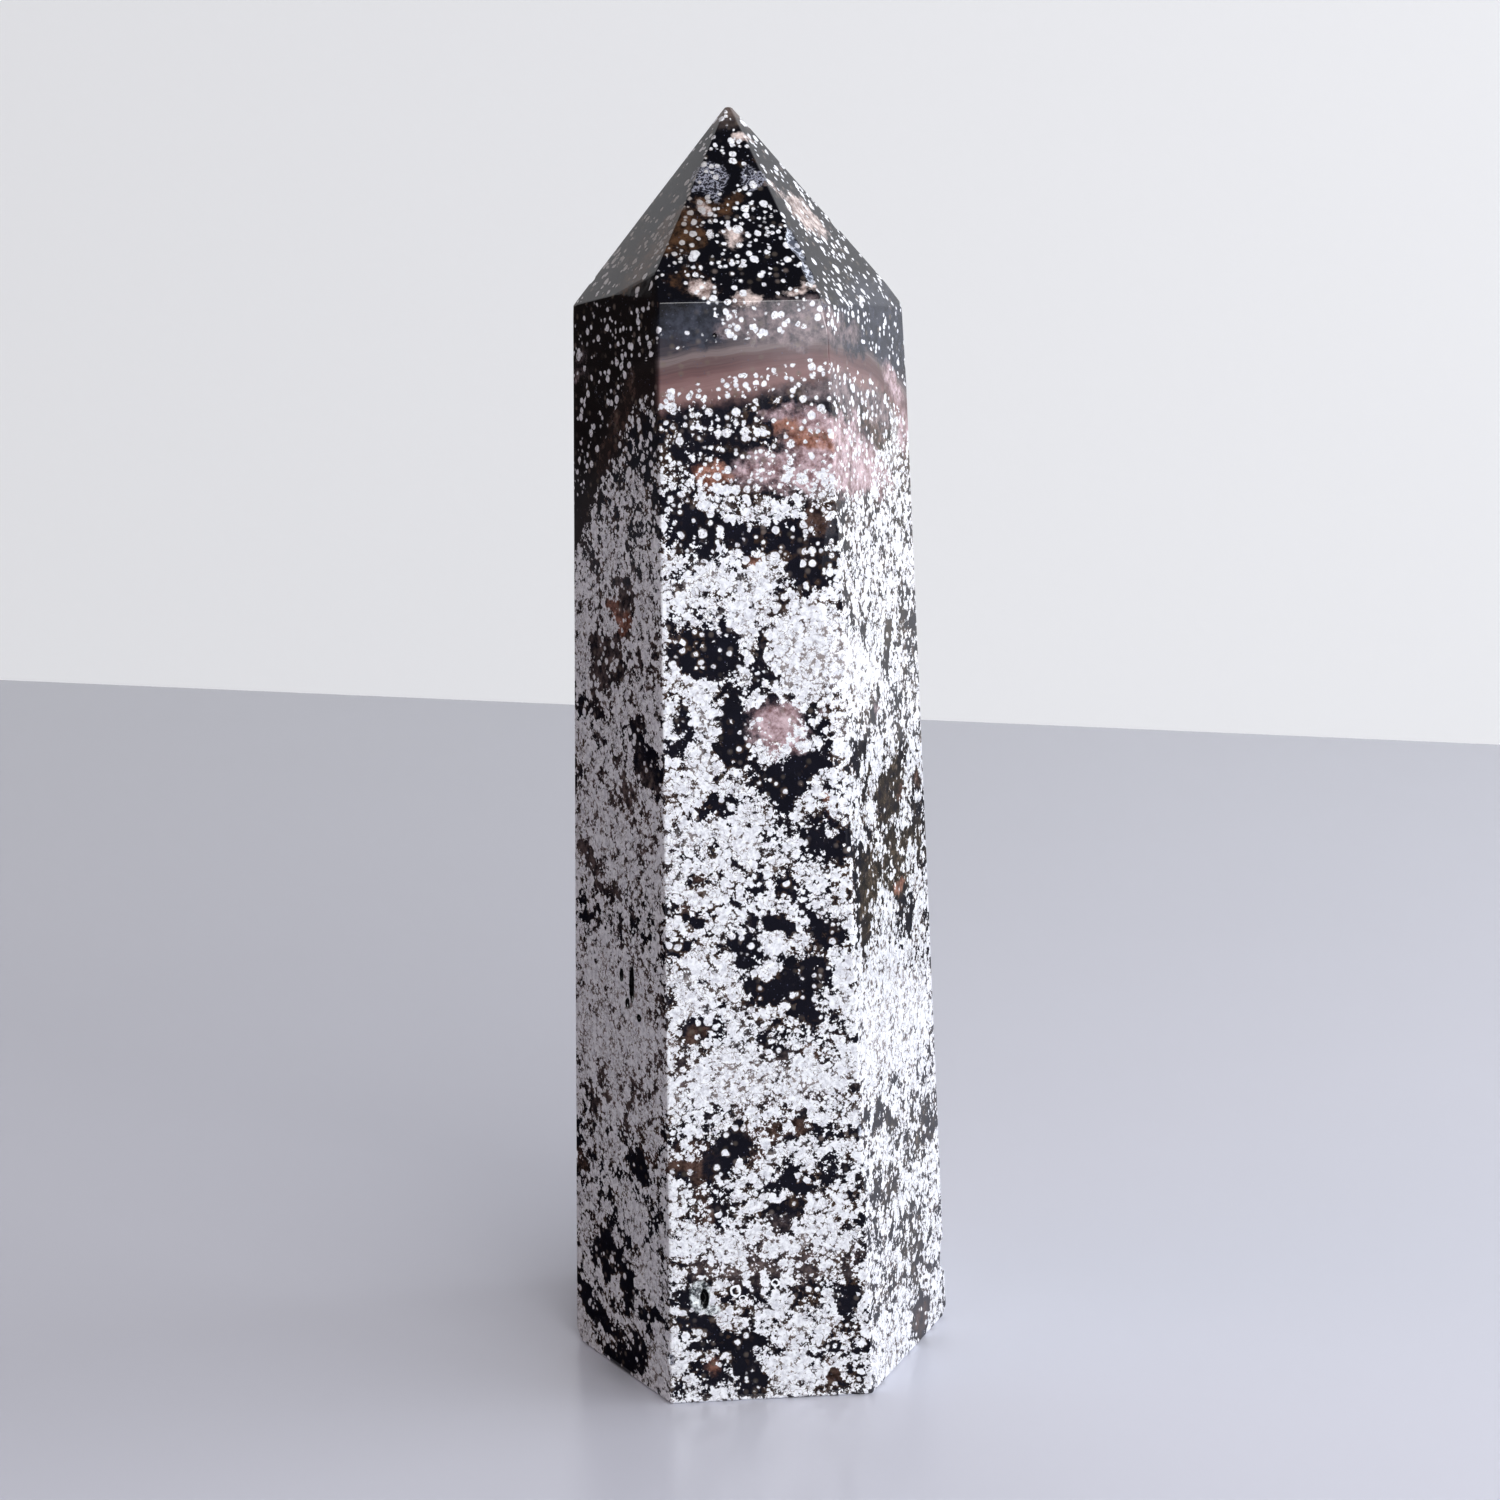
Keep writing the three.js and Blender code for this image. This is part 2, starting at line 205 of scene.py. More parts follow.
BROWN_PATCHES = (
    ("left", 0.8, 91.4, 1.8, 6.4, -38, 0.55),
    ("left", 7.6, 23.4, 2.8, 1.0, 0, 1.0),
    ("left", -7.2, 19.4, 1.6, 1.6, 0, 0.8),
    ("left", -5.0, 13.2, 1.4, 1.4, 0, 0.7),
    ("front", 3.9, 83.2, 1.5, 1.8, 0, 0.9),
    ("front", -2.0, 79.4, 0.9, 0.7, 0, 0.9),
    ("front", -8.4, 24.4, 1.9, 1.4, 0, 1.0),
    ("front", 0.0, 26.6, 2.8, 1.2, 6, 0.9),
    ("front", -2.2, 24.4, 0.8, 1.8, -35, 0.8),
    ("front", -7.4, 20.4, 1.0, 2.8, 10, 0.9),
    ("front", 3.0, 33.8, 1.0, 0.8, 0, 1.0),
    ("front", 5.4, 35.2, 0.8, 0.9, 0, 0.9),
    ("front", -7.4, 35.9, 1.4, 0.7, 0, 0.9),
    ("front", -7.0, 50.7, 0.9, 0.6, 0, 0.9),
    ("front", -8.4, 48.0, 0.6, 0.6, 0, 0.9),
    ("front", 5.0, 2.9, 1.1, 1.7, 0, 1.2),
    ("right", 1.0, 91.6, 3.4, 1.9, -24, 1.4),
    ("right", -4.6, 93.8, 3.0, 0.9, -12, 0.9),
    ("right", 7.6, 87.0, 1.5, 1.6, 0, 0.9),
    ("right", 3.7, 55.3, 1.0, 0.9, 0, 1.0),
    ("right", 8.0, 56.4, 1.0, 1.2, 0, 0.8),
    ("right", 3.6, 2.4, 1.9, 1.7, 0, 0.8),
)
ORANGE_PATCHES = (
    ("left", -0.4, 74.6, 1.2, 0.8, 0, 0.8),
    ("left", 1.6, 73.2, 1.6, 0.9, 0, 0.8),
    ("front", 3.8, 90.2, 2.6, 1.0, -4, 1.0),
    ("front", 1.4, 91.4, 1.6, 0.35, -4, 0.9),
    ("front", -5.2, 87.4, 1.6, 1.4, 0, 1.0),
    ("front", -1.4, 79.6, 0.7, 0.6, 0, 0.8),
    ("front", 5.0, 57.2, 0.5, 1.4, 0, 0.8),
    ("front", -6.2, 3.6, 0.9, 0.9, 0, 0.7),
    ("right", 2.2, 46.8, 0.9, 0.6, 0, 0.8),
)
AMBER_PATCHES = (
    ("tip_front", -4.2, 110.8, 2.0, 1.0, -8, 1.1),
    ("tip_front", -2.2, 111.4, 1.0, 0.7, 0, 0.7),
    ("tip_front", -6.6, 107.8, 1.5, 1.4, 20, 0.9),
    ("tip_front", -0.8, 115.0, 1.6, 0.8, 0, 0.6),
    ("tip_front", -6.6, 104.2, 2.6, 1.9, 0, 0.7),
    ("tip_left", 4.8, 108.2, 2.4, 3.6, -12, 1.1),
    ("tip_left", 1.4, 107.0, 4.0, 4.0, 0, 0.5),
    ("tip_left", 3.4, 104.4, 2.4, 1.2, 0, 0.7),
)
CREAM_PATCHES = (
    ("tip_front", -5.2, 110.7, 0.9, 0.7, 0, 1.0),
    ("tip_front", -3.0, 108.0, 1.0, 1.5, 0, 0.8),
    ("tip_front", -6.0, 103.9, 1.5, 1.1, 0, 1.2),
    ("tip_front", -2.0, 102.7, 1.5, 0.6, 0, 1.1),
    ("tip_front", 3.0, 103.2, 1.5, 0.6, 0, 1.1),
    ("tip_front", -1.2, 117.0, 1.4, 0.5, 0, 1.0),
    ("tip_right", -0.8, 110.0, 3.2, 2.4, -14, 1.2),
    ("tip_right", -3.6, 112.8, 1.2, 1.2, 0, 0.6),
    ("right", 1.4, 91.2, 2.8, 1.5, -24, 0.36),
)
PINK_PATCHES = (
    ("front", 0.4, 64.2, 2.7, 2.3, -30, 1.2),
    ("front", 4.4, 66.2, 1.3, 1.2, 0, 0.4),
    ("front", -0.2, 87.6, 3.8, 1.7, 0, 0.8),
    ("front", 2.2, 92.2, 3.4, 1.0, -3, 0.8),
    ("front", 3.8, 90.0, 3.0, 1.6, 3, 0.8),
    ("front", 4.4, 86.6, 2.6, 1.6, 0, 0.7),
    ("front", 6.4, 88.4, 1.4, 3.2, 0, 0.8),
    ("right", -5.4, 88.4, 5.6, 3.4, -22, 1.0),
    ("right", 0.4, 86.6, 4.0, 2.2, -20, 0.8),
    ("right", 8.0, 90.0, 1.6, 1.8, 0, 1.0),
    ("right", 5.6, 94.6, 3.2, 1.3, -35, 0.8),
    ("right", -1.8, 65.2, 1.1, 1.0, 0, 0.5),
    ("left", -6.6, 96.6, 1.2, 1.4, 0, 0.35),
)
HAZY_PATCHES = (
    ("left", 0.0, 72.0, 9.0, 8.0, 0, 0.6),
    ("left", 0.0, 54.0, 9.0, 7.0, 0, 0.9),
    ("left", 0.0, 34.0, 9.0, 9.0, 0, 1.2),
    ("front", 3.3, 71.4, 3.4, 3.6, 0, 1.0),
    ("front", -1.0, 31.0, 8.0, 3.0, 0, 0.7),
    ("front", -1.0, 14.4, 8.0, 3.0, 0, 0.7),
)
# Olive-brown ground on the right face: partly the stone's own colour, partly a painted greenish sheen
# over its dark stone
OLIVE_AND_SHEEN_PATCHES = (
    ("right", 2.6, 91.0, 3.0, 3.4, -30, 1.0),
    ("right", 5.4, 82.0, 3.0, 5.0, 0, 0.8),
    ("right", 2.0, 73.0, 5.0, 4.0, 0, 0.7),
    ("right", 0.0, 59.0, 9.0, 4.0, 0, 0.7),
    ("right", 1.0, 50.0, 9.0, 5.0, 0, 0.9),
    ("right", -6.0, 45.0, 3.0, 4.0, 0, 0.7),
    ("right", 0.0, 20.0, 9.0, 7.0, 0, 0.7),
    ("right", 2.0, 9.0, 6.0, 4.0, 0, 0.7),
)
# Pale milky ground: partly the stone's own colour, partly a painted sheen along the top edge of the
# front and right faces
MILKY_AND_SHEEN_PATCHES = (
    ("front", 1.6, 100.6, 4.8, 2.0, 0, 1.0),
    ("front", -2.8, 100.4, 1.8, 1.2, 0, 0.7),
    ("right", -7.4, 99.8, 2.6, 1.4, -10, 0.7),
    ("right", -3.6, 99.6, 1.3, 1.1, 0, 0.9),
    ("left", -5.4, 96.6, 1.6, 2.0, 0, 0.4),
    ("front", 3.0, 94.4, 3.4, 0.8, 2, 0.6),
    ("front", 7.4, 93.6, 2.0, 1.6, 0, 0.7),
    ("right", -6.4, 94.4, 4.2, 1.4, -14, 0.9),
    ("right", 1.4, 92.6, 4.2, 1.9, -24, 1.0),
)
DRUSE_PATCHES = (
    ("tip_front", -4.7, 113.2, 1.3, 1.7, 0, 1.2),
    ("tip_front", 0.1, 113.4, 0.6, 0.6, 0, 0.6),
    ("tip_right", -5.2, 113.4, 1.2, 1.6, 0, 0.8),
)
# Blue-grey ground along the top edges: partly the stone's own colour, partly a painted reflection
BLUE_AND_REFLECTION_PATCHES = (
    ("right", 0.0, 100.2, 11.0, 2.6, 0, 1.2),
    ("right", 6.4, 98.0, 3.4, 2.2, 0, 1.0),
    ("front", -6.8, 100.3, 3.6, 2.0, 0, 0.9),
    ("tip_right", 3.0, 103.4, 6.0, 1.4, 0, 0.8),
)

# Where the white is dulled as painted shade on the tip's left face, and where what lies deep is a
# broken surface, as rows of the same kind
SHADED_TIP_PATCHES = (
    ("tip_left", 0.0, 109.0, 8.0, 7.0, 0, 1.0),
)
CHIPPED_PLACES = (
    ("tip_front", 4.2, 107.0, 6.0, 9.0, 0, 1.0),
    ("tip_right", 7.5, 109.3, 2.5, 3.0, 0, 1.0),
    ("tip_left", -7.6, 104.4, 2.0, 2.0, 0, 1.0),
    ("right", 9.4, 96.4, 2.0, 2.0, 0, 1.0),
    ("right", 9.8, 6.5, 5.0, 5.0, 0, 1.0),
    ("front", 7.6, 26.0, 2.0, 2.0, 0, 1.0),
    ("left", -8.0, 19.4, 2.0, 2.0, 0, 1.0),
    ("left", 8.3, 4.4, 2.0, 2.0, 0, 1.0),
)

# Layers of the flow bands: height above the arch in millimetres, and colour
FLOW_LOW = -6.0
FLOW_HIGH = 4.0
FLOW_LAYERS = (
    (-6.0, (0.09, 0.052, 0.048)),
    (-4.2, (0.20, 0.125, 0.122)),
    (-2.8, (0.27, 0.175, 0.172)),
    (-1.7, (0.19, 0.115, 0.115)),
    (-0.9, (0.13, 0.080, 0.083)),
    (-0.3, (0.16, 0.115, 0.115)),
    (0.0, (0.21, 0.17, 0.17)),
    (0.5, (0.12, 0.098, 0.105)),
    (1.4, (0.045, 0.040, 0.052)),
    (3.0, (0.006, 0.006, 0.010)),
)
STREAK_DRIFT = 0.05  # how much the streaks in the layers change along them

# Small marks, with no tilt: face, across, level, half width and half height. The holes are painted
# near-black inside, as painted shade in the pits and the crevice.
PAINTED_SHADE_HOLES = (
    ("front", -7.15, 10.35, 0.42, 1.05),
    ("front", -5.05, 99.5, 0.16, 0.18),
    ("left", 2.75, 39.4, 0.42, 1.75),
    ("left", 0.85, 39.8, 0.32, 0.65),
    ("left", 1.95, 37.3, 0.34, 0.5),
    ("left", 4.1, 36.4, 0.36, 0.38),
)
PALE_RIMS = (
    ("front", -7.6, 10.6, 1.0, 1.6),
    ("front", -6.5, 9.2, 0.9, 0.5),
)
RINGS = (
    ("front", -4.25, 10.95, 0.42, 0.5),
    ("front", -3.6, 10.2, 0.3, 0.24),
    ("front", -1.5, 11.6, 0.34, 0.3),
    ("front", -0.5, 11.6, 0.34, 0.3),
)

PATCHES = {
    "dark": DARK_PATCHES,
    "white": WHITE_PATCHES,
    "brown": BROWN_PATCHES,
    "orange": ORANGE_PATCHES,
    "amber": AMBER_PATCHES,
    "cream": CREAM_PATCHES,
    "pink": PINK_PATCHES,
    "hazy": HAZY_PATCHES,
    "olive_and_sheen": OLIVE_AND_SHEEN_PATCHES,
    "milky_and_sheen": MILKY_AND_SHEEN_PATCHES,
    "druse": DRUSE_PATCHES,
    "dull": SHADED_TIP_PATCHES,
    "blue_and_reflection": BLUE_AND_REFLECTION_PATCHES,
}

# How deep patches and small marks go, in millimetres, and between which shares of its size a patch
# fades in
PATCH_DEPTH = 3.0
MARK_DEPTH = 1.5
PATCH_FADE = (1.5, 0.5)

# Over what distances a patch's outline wanders, and how far, in millimetres
OUTLINE_WANDERS = ((3.0, 0.8), (1.2, 0.5))

# Without a seed of its own, vector noise differs from run to run
NOISE_SEED = 2

# Where rays on to a face start, and how far back from there a face is looked for that they miss
CAST_FROM = 60.0
CAST_BACK = 48.0

# The arch that the flow bands follow, in millimetres: where its crown stands, how fast it falls
# away sideways and backwards, and from where and how steeply it drops on the left
ARCH_CROWN = (8.0, -16.0, 98.9)
ARCH_FALL_SIDEWAYS = 0.005
ARCH_FALL_BACKWARDS = 0.017
ARCH_DROP_FROM = -11.9
ARCH_DROP_SLOPE = 1.9
FLOW_SHADED_FROM = (-9.9, -10.5)

# Where the thick speckles stop, above the arch: far from a place near the front right edge, and at it
SPECKLE_PEAK = (5.3, -16.4)
SPECKLE_PEAK_REACH = (13.0, 1.0)
SPECKLE_TOPS = (-1.8, -1.2)

# How thick the speckles are by height: two levels in millimetres, and the values at them
COVER_BY_HEIGHT = (92.0, 80.0, -0.1, 0.16)
THICK_BY_HEIGHT = (95.0, 79.0, 0.6, 1.2)
THIN_BY_HEIGHT = (62.0, 80.0, 0.3, 0.46)

# How much each unit of a painted patch takes off the cover of white, or adds to it
COVER_OF_PATCHES = {"dark": -0.82, "white": 1.0, "brown": -0.2, "orange": -0.2, "pink": -0.2}

# The speckles, one row to a size: how far apart they lie, their widest radius and later growth as
# shares of that, how much the density counts, and what is added to it
SPECKLES = (
    (1.30, 0.36, 0.20, 1.0, -0.12),
    (0.84, 0.45, 0.26, 1.0, -0.04),
    (0.56, 0.45, 0.20, 1.0, -0.06),
    (0.34, 0.46, 0.16, 1.6, -0.68),
)
FAINT_SPECKLES_APART = 0.8
DUST_APART = 0.3
JITTER_REACH = (0.18, 0.7)
MARK_JITTER = 0.3

# Noises in the stone's own space: the size of their features in millimetres, detail and roughness
ARCH_NOISE = (6.0, 2.0, 0.5)
LARGE_NOISE = (5.0, 3.0, 0.6)
SMALL_NOISE = (1.8, 4.0, 0.72)
JITTER_NOISE = (0.36, 2.0, 0.6)
BLACK_NOISE = (3.0, 3.0, 0.6)
TAN_NOISE = (1.2, 2.0, 0.6)
TAN_PLACES_NOISE = (3.4, 3.0, 0.6)
TORN_NOISE = (1.4, 4.0, 0.7)
RAGGED_NOISE = (1.3, 4.0, 0.7)
MOTTLE_NOISE = (0.9, 4.0, 0.7)
DRUSE_NOISE = (0.5, 2.0, 0.6)
CAP_EDGE_NOISE = (1.5, 3.0, 0.5)
CAP_NOISE = (0.7, 3.0, 0.7)
STREAK_NOISE = (0.6, 4.0, 0.7)
WHITE_NOISE = (0.45, 4.0, 0.7)
GRAIN_NOISE = (0.42, 1.0, 0.5)
GRAINY_PLACES_NOISE = (1.6, 2.0, 0.6)
RIDGE_NOISE = (1.1, 3.0, 0.6)
MOUTH_NOISE = (0.55, 4.0, 0.75)
POLISH_NOISE = (4.0, 4.0, 0.7)
BUMP_NOISE = (2.4, 3.0, 0.55)
NOISE_MIDDLE = 0.5

# How far noises swing what they are added to, in all
ARCH_SWING = 1.6
LARGE_SWING = 1.6
SMALL_SWING = 2.8
RAGGED_SWING = 2.4
STREAK_SWING = 2.6
TORN_REACH = 2.4
CAP_REACH = 2.4

# Between which levels the stone turns into the brown cap of the tip, in millimetres
CAP_LEVELS = (118.6, 120.6)

# Colours of the stone. A pair is the dull one and the bright one of a mottled surface.
BLACKS = ((0.004, 0.004, 0.008), (0.018, 0.018, 0.030))
TANS = ((0.04, 0.022, 0.015), (0.12, 0.08, 0.055))
DRUSES = ((0.03, 0.03, 0.04), (0.34, 0.35, 0.42))
CAPS = ((0.05, 0.035, 0.03), (0.22, 0.18, 0.17))
WHITES = ((0.52, 0.53, 0.59), (0.87, 0.89, 0.93))
FAINT_WHITES = ((0.13, 0.11, 0.08), (0.30, 0.25, 0.23))
PIT_MOUTHS = ((0.045, 0.055, 0.065), (0.78, 0.83, 0.85))
SHADED_FLOW = (0.008, 0.003, 0.003)
CLOUD = (0.34, 0.31, 0.31)
DUST = (0.10, 0.11, 0.17)
GRAIN = (0.16, 0.12, 0.11)
# Painted shade for the whites on the tip's left face
SHADED_TIP_WHITE = (0.25, 0.22, 0.205)
BROKEN_GREY = (0.10, 0.115, 0.165)
BROKEN_RIDGE = (0.60, 0.64, 0.74)
# Painted shade inside the pits and the crevice
PIT_PAINTED_SHADE = (0.002, 0.002, 0.003)

# The patches that colour the ground, lowest first: painted mask, how much of it starts and ends to
# cover, and the dull and bright colours of their mottle
GROUND_PATCHES = (
    ("hazy", 0.0, 1.2, (0.045, 0.034, 0.036), (0.22, 0.17, 0.165)),
    # Olive: partly the stone's own colour, partly a painted greenish sheen on the right face
    ("olive_and_sheen", 0.3, 1.1, (0.008, 0.008, 0.007), (0.13, 0.10, 0.072)),
    # Blue: partly the stone's own colour, partly a painted reflection along the top edges
    ("blue_and_reflection", 0.1, 1.0, (0.016, 0.019, 0.029), (0.060, 0.066, 0.092)),
    ("brown", 0.2, 1.0, (0.022, 0.012, 0.010), (0.15, 0.095, 0.08)),
    # Milky: partly pale milky stone, partly a painted sheen near the top edge
    ("milky_and_sheen", 0.1, 1.1, (0.07, 0.06, 0.07), (0.30, 0.24, 0.25)),
    ("amber", 0.3, 1.1, (0.02, 0.012, 0.009), (0.12, 0.066, 0.038)),
    ("cream", 0.3, 1.0, (0.15, 0.10, 0.09), (0.80, 0.70, 0.68)),
    ("pink", 0.1, 1.1, (0.20, 0.12, 0.125), (0.66, 0.53, 0.57)),
    ("orange", 0.2, 1.0, (0.13, 0.05, 0.03), (0.46, 0.26, 0.21)),
)

# The polish: its roughness where it is best and worst, and what a broken surface adds
STONE_IOR = 1.55
POLISH_ROUGHNESS = (0.05, 0.1)
BROKEN_ROUGHNESS = 0.3
BUMP_STRENGTH = 0.25
BUMP_HEIGHT = 0.02

# Soft lights: azimuth counted from -Y towards +X, elevation, distance, size, power and colour
LIGHTS = (
    ("window", 78, 30, 520, (420, 380), 1.6, (0.97, 0.98, 1.0)),
    ("room", 20, 26, 640, (620, 340), 4.1, (1.0, 0.99, 0.98)),
    ("fill", -80, 22, 800, (500, 400), 0.53, (1.0, 0.52, 0.38)),
)
LIT_POINT = (0.0, 0.0, 50.0)
WORLD_COLOUR = (0.95, 0.95, 1.0)
WORLD_STRENGTH = 0.06
CARD_COLOURS = ((0.88, 0.9, 1.0), (1.0, 1.0, 1.0))
CARD_MOTTLE_SIZE = 0.1
TABLE_ROUGHNESS = 0.22
TABLE_MOTTLE = 0.02
WALL_ROUGHNESS = 0.9
WALL_MOTTLE = 0.005
MOTTLE_SIZE = 0.09


class Wiring:
    """Adds nodes to one shader tree and joins them."""

    def __init__(self, tree):
        self.tree = tree

    def put(self, value, socket):
        """Joins an output to a socket, or sets the socket to a plain value."""
        if isinstance(value, bpy.types.NodeSocket):
            self.tree.links.new(value, socket)
        else:
            socket.default_value = value

    def node(self, kind, **settings):
        made = self.tree.nodes.new(kind)
        for name, value in settings.items():
            setattr(made, name, value)
        return made

    def math(self, operation, *values):
        made = self.node("ShaderNodeMath", operation=operation)
        for value, socket in zip(values, made.inputs):
            self.put(value, socket)
        return made.outputs[0]

    def vector(self, operation, *values):
        made = self.node("ShaderNodeVectorMath", operation=operation)
        for value, socket in zip(values, made.inputs):
            self.put(value, socket)
        return made.outputs["Value" if operation == "LENGTH" else "Vector"]

    def scaled(self, vector, factor):
        made = self.node("ShaderNodeVectorMath", operation="SCALE")
        self.put(vector, made.inputs[0])
        self.put(factor, made.inputs["Scale"])
        return made.outputs["Vector"]

    def parts(self, vector):
        made = self.node("ShaderNodeSeparateXYZ")
        self.put(vector, made.inputs[0])
        return made.outputs

    def ease(self, value, start, end, low=0.0, high=1.0, kind="SMOOTHSTEP"):
        """Goes smoothly from low to high as value goes from start to end, and stops there."""
        made = self.node("ShaderNodeMapRange", interpolation_type=kind, clamp=True)
        for name, given in zip(("Value", "From Min", "From Max", "To Min", "To Max"),
                               (value, start, end, low, high)):
            self.put(given, made.inputs[name])
        return made.outputs["Result"]

    def mix(self, share, first, second):
        made = self.node("ShaderNodeMix", data_type="RGBA", clamp_factor=True)
        self.put(share, made.inputs["Factor"])
        for name, given in (("A", first), ("B", second)):
            socket = next(s for s in made.inputs if s.name == name and s.type == "RGBA")
            self.put(given if isinstance(given, bpy.types.NodeSocket) else (*given, 1.0), socket)
        return next(s for s in made.outputs if s.type == "RGBA")

    def painted(self, name):
        """A mask that paint_masks wrote into the mesh."""
        return self.node("ShaderNodeAttribute", attribute_name=name).outputs["Fac"]

    def noise(self, place, size, detail=2.0, roughness=0.5, colour=False):
        """Noise whose features are about size wide, from 0 to 1."""
        made = self.node("ShaderNodeTexNoise")
        self.put(place, made.inputs["Vector"])
        self.put(1.0 / size, made.inputs["Scale"])
        self.put(detail, made.inputs["Detail"])
        self.put(roughness, made.inputs["Roughness"])
        return made.outputs["Color" if colour else "Fac"]

    def swing(self, place, kind, span):
        """One kind of noise, swinging half of span to either side of 0."""
        return self.math("MULTIPLY_ADD", self.noise(place, *kind), span, -span / 2)

    def veins(self, place, kind):
        """0 along fine winding lines through one kind of noise, and more away from them."""
        return self.math("ABSOLUTE", self.math("SUBTRACT", self.noise(place, *kind), NOISE_MIDDLE))

    def cells(self, place, size):
        """Scattered points size apart: the distance to the nearest, and its own chances."""
        made = self.node("ShaderNodeTexVoronoi", feature="F1")
        self.put(place, made.inputs["Vector"])
        self.put(1.0 / size, made.inputs["Scale"])
        return self.math("MULTIPLY", made.outputs["Distance"], size), self.parts(made.outputs["Color"])


def way(degrees):
    """The level direction that a face looks in."""
    turn = math.radians(degrees)
    return Vector((math.sin(turn), -math.cos(turn), 0.0))


class StonePlaces:
    """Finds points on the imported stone, so that marks placed on a face lie in its surface."""

    def __init__(self, stone):
        mesh = stone.data
        points = [v.co / MM for v in mesh.vertices]
        self.tree = BVHTree.FromPolygons(points, [p.vertices for p in mesh.polygons])

    def on(self, face, across, level):
        """The point and outward direction at a place on a face, in millimetres."""
        out = way(FACE_WAY[face])
        side = Vector((0, 0, 1)).cross(out)
        start = out * CAST_FROM + side * across + Vector((0, 0, level))
        point, normal, _, _ = self.tree.ray_cast(start, -out)
        if point is None:
            point, normal, _, _ = self.tree.find_nearest(start - out * CAST_BACK)
        return point, normal


def mesh_values(items, name, width=1, kind=float):
    """One property of a mesh's items as an array, with width numbers to an item."""
    found = np.zeros(len(items) * width, dtype=kind)
    items.foreach_get(name, found)
    return found.reshape(-1, width) if width > 1 else found


def ease(value, start, end):
    """Goes smoothly from 0 to 1 as value goes from start to end, and stops there."""
    share = np.clip((value - start) / (end - start), 0.0, 1.0)
    return share * share * (3.0 - 2.0 * share)


def wandered(points):
    """The points, each pushed a little aside by noise, so that what is drawn on them gets ragged."""
    noise.seed_set(NOISE_SEED)
    moved = points.copy()
    for size, reach in OUTLINE_WANDERS:
        moved += np.array([noise.noise_vector(Vector(p) / size) for p in points]) * reach
    return moved


def patch_sum(points, places, table):
    """How much of a set of patches covers each point: they add up, and each fades out at its rim."""
    total = np.zeros(len(points))
    for face, across, level, wide, high, tilt, amount in table:
        middle, normal = places.on(face, across, level)
        side = Vector((0, 0, 1)).cross(normal).normalized()
        up = normal.cross(side)
        turned = Matrix((side, up, normal)).transposed() @ Matrix.Rotation(math.radians(tilt), 3, "Z")
        local = (points - np.array(middle)) @ np.array(turned) / (wide, high, PATCH_DEPTH)
        total += amount * ease(np.linalg.norm(local, axis=1), *PATCH_FADE)
    return total


def paint(mesh, name, amounts):
    """Writes one number to each vertex, as a mask for the material."""
    mask = mesh.attributes.new(name, "FLOAT", "POINT")
    mask.data.foreach_set("value", amounts.astype(np.float32))


def paint_masks(mesh, places, planes):
    """Writes each set of patches, and where the stone is broken, into the mesh for its material."""
    points = mesh_values(mesh.vertices, "co", 3) / MM
    broken = ease(depths(points, planes).min(1), *BROKEN_DEPTHS)
    paint(mesh, "broken", broken * patch_sum(points, places, CHIPPED_PLACES))
    points = wandered(points)
    for name, table in PATCHES.items():
        paint(mesh, name, patch_sum(points, places, table))


def empty_material(name):
    """A new material with no nodes yet, and what wires them."""
    material = bpy.data.materials.new(name)
    material.use_nodes = True
    material.node_tree.nodes.clear()
    return material, Wiring(material.node_tree)


def stone_material(places):
    material, w = empty_material("polished_jasper")
    place = w.scaled(w.node("ShaderNodeTexCoord").outputs["Object"], 1 / MM)
    band_level = flow_level(w, place)
    above = above_speckles(w, place, band_level)
    density, cover = speckle_density(w, place, band_level, above)
    jitter = w.vector("SUBTRACT", w.noise(place, *JITTER_NOISE, colour=True), (NOISE_MIDDLE,) * 3)
    rough_place = w.vector("ADD", place, w.scaled(jitter, w.ease(density, 0.5, 1.1, *JITTER_REACH)))
    rim = speckle_rim(w, rough_place, density)
    ground = ground_colour(w, place, band_level, above, rim)
    ground = add_cloud(w, cover, above, ground)
    colour = add_speckles(w, place, ground, rim, density)
    colour = add_breaks(w, place, colour)
    mark_place = w.vector("ADD", place, w.scaled(jitter, MARK_JITTER))
    colour = add_small_marks(w, mark_place, places, colour)
    shader = polished_shader(w, place, colour)
    w.put(shader.outputs["BSDF"], w.node("ShaderNodeOutputMaterial").inputs["Surface"])
    return material


def polished_shader(w, place, colour):
    """A high polish that is a little uneven, and rougher where the stone is broken."""
    shader = w.node("ShaderNodeBsdfPrincipled")
    w.put(colour, shader.inputs["Base Color"])
    shader.inputs["IOR"].default_value = STONE_IOR
    polish = w.ease(w.noise(place, *POLISH_NOISE), 0.3, 0.75, *POLISH_ROUGHNESS)
    rough = w.math("MULTIPLY_ADD", w.painted("broken"), BROKEN_ROUGHNESS, polish)
    w.put(rough, shader.inputs["Roughness"])
    bump = w.node("ShaderNodeBump")
    bump.inputs["Strength"].default_value = BUMP_STRENGTH
    bump.inputs["Distance"].default_value = BUMP_HEIGHT * MM
    w.put(w.noise(place, *BUMP_NOISE), bump.inputs["Height"])
    w.put(bump.outputs["Normal"], shader.inputs["Normal"])
    return shader


